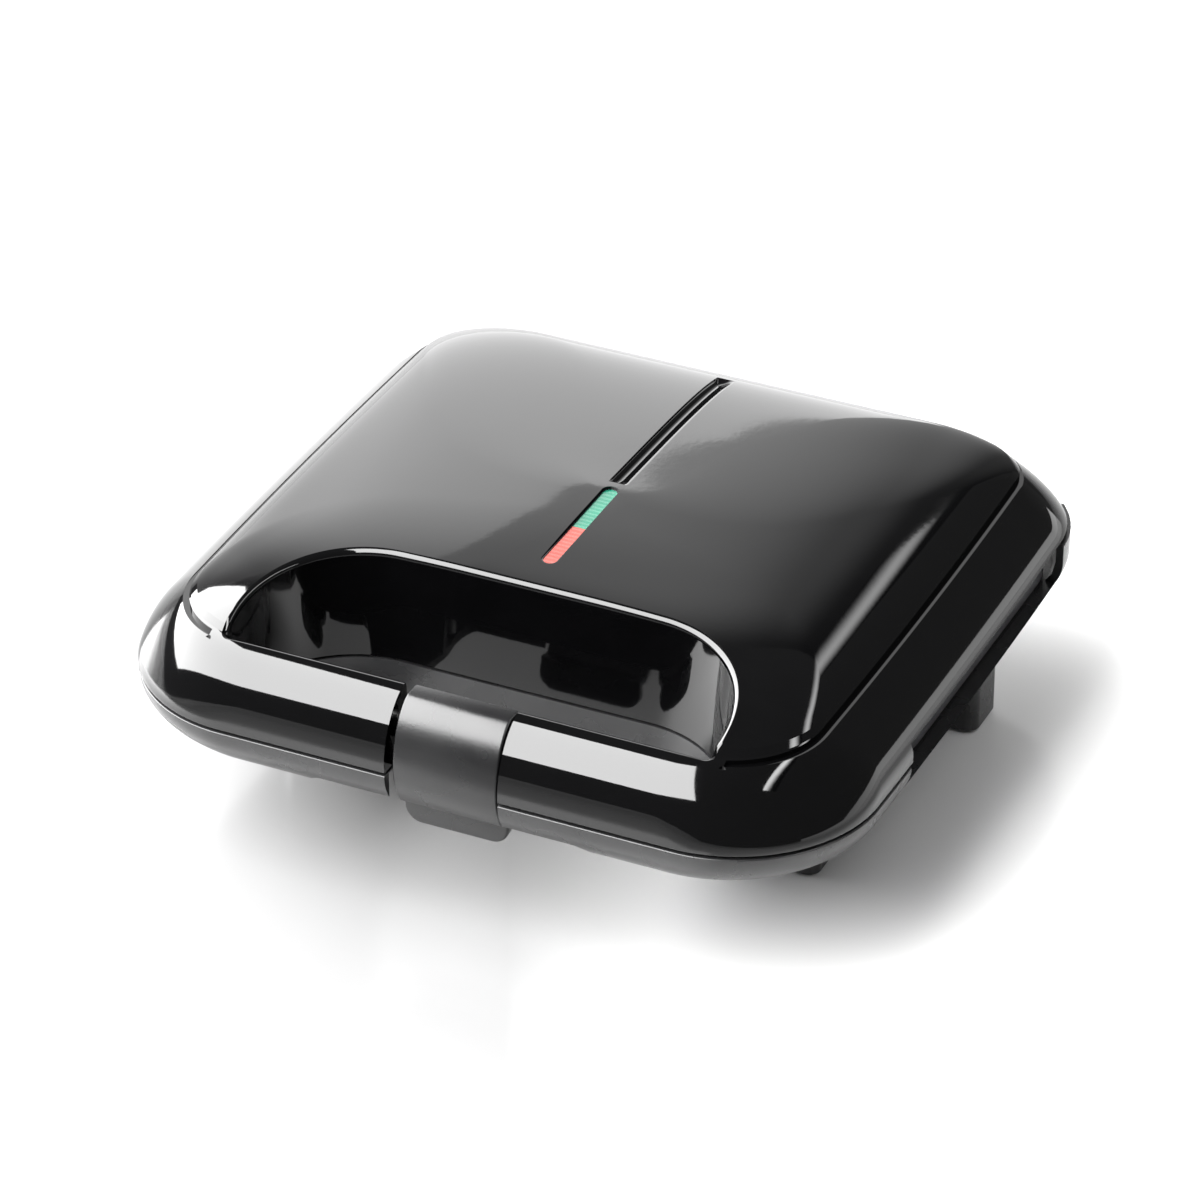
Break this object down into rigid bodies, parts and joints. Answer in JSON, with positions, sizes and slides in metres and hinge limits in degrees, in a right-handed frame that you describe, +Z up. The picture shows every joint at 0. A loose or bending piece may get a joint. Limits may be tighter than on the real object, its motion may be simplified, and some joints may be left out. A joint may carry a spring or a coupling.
{
  "type": "donut maker",
  "caption": "Tabletop clamshell donut baker: crowned hinged lid over ring-mould die plates, split carrying handle with a front latch, indicator window and legs.",
  "frame": {"origin": "middle of the footprint, on the table under the feet", "axes": "+Z up, -Y towards the handle and latch, hinge at +Y, +X to the right seen from the front"},
  "size_m": [0.2354, 0.2279, 0.0852],
  "materials": {
    "gloss_cover": "high-gloss black ABS",
    "satin_cover": "satin black heat-resistant moulding",
    "latch_grey": "satin dark grey moulding",
    "foot_rubber": "matt",
    "nonstick": "die-cast with dark non-stick coating",
    "heater_sheath": "heat-tinted steel sheath",
    "sheet": "aluminised sheet",
    "steel": "zinc-plated steel",
    "ceramic": "steatite ceramic",
    "brass": "plain brass",
    "holder_plastic": "natural nylon",
    "wire": "silicone-insulated wire",
    "bezel_black": "gloss black",
    "lens_red": "translucent red",
    "lens_green": "translucent green",
    "lamp_glass": "clear neon lamp"
  },
  "bodies": {
    "base": {"base_cover": "satin_cover", "front_feet": "foot_rubber", "rear_feet": "foot_rubber", "lower_plate": "nonstick", "lower_heater": "heater_sheath", "lower_heat_shield": "sheet", "lower_shield_screws": "steel", "lower_plate_screws": "steel", "lower_liner": "satin_cover", "lower_liner_screws": "steel", "terminal_block": "ceramic", "terminal_screws": "brass", "cord_clamp": "holder_plastic", "cord_clamp_screws": "steel", "base_wiring": "wire", "left_hinge_pin": "steel", "right_hinge_pin": "steel"},
    "lid": {"lid_cover": "gloss_cover", "upper_liner": "satin_cover", "upper_liner_screws": "steel", "upper_plate": "nonstick", "upper_heater": "heater_sheath", "upper_heat_shield": "sheet", "upper_shield_screws": "steel", "upper_plate_screws": "steel", "thermostat": "ceramic", "thermal_fuse": "ceramic", "fuse_clip": "sheet", "indicator_bezel": "bezel_black", "red_lens": "lens_red", "green_lens": "lens_green", "red_lamp": "lamp_glass", "green_lamp": "lamp_glass", "lamp_holder": "holder_plastic", "lamp_holder_screws": "steel", "lid_wiring": "wire", "latch_pin": "steel"},
    "latch": {"latch": "latch_grey"}
  },
  "joints": [
    {"name": "lid_hinge", "type": "hinge", "parent": "base", "child": "lid", "pos_m": [0, 0.1075, 0.0495], "axis": [-1, 0, 0], "range_deg": [0, 100]},
    {"name": "latch_hinge", "type": "hinge", "parent": "lid", "child": "latch", "pos_m": [0, -0.104, 0.0625], "axis": [-1, 0, 0], "range_deg": [0, 60]}
  ]
}
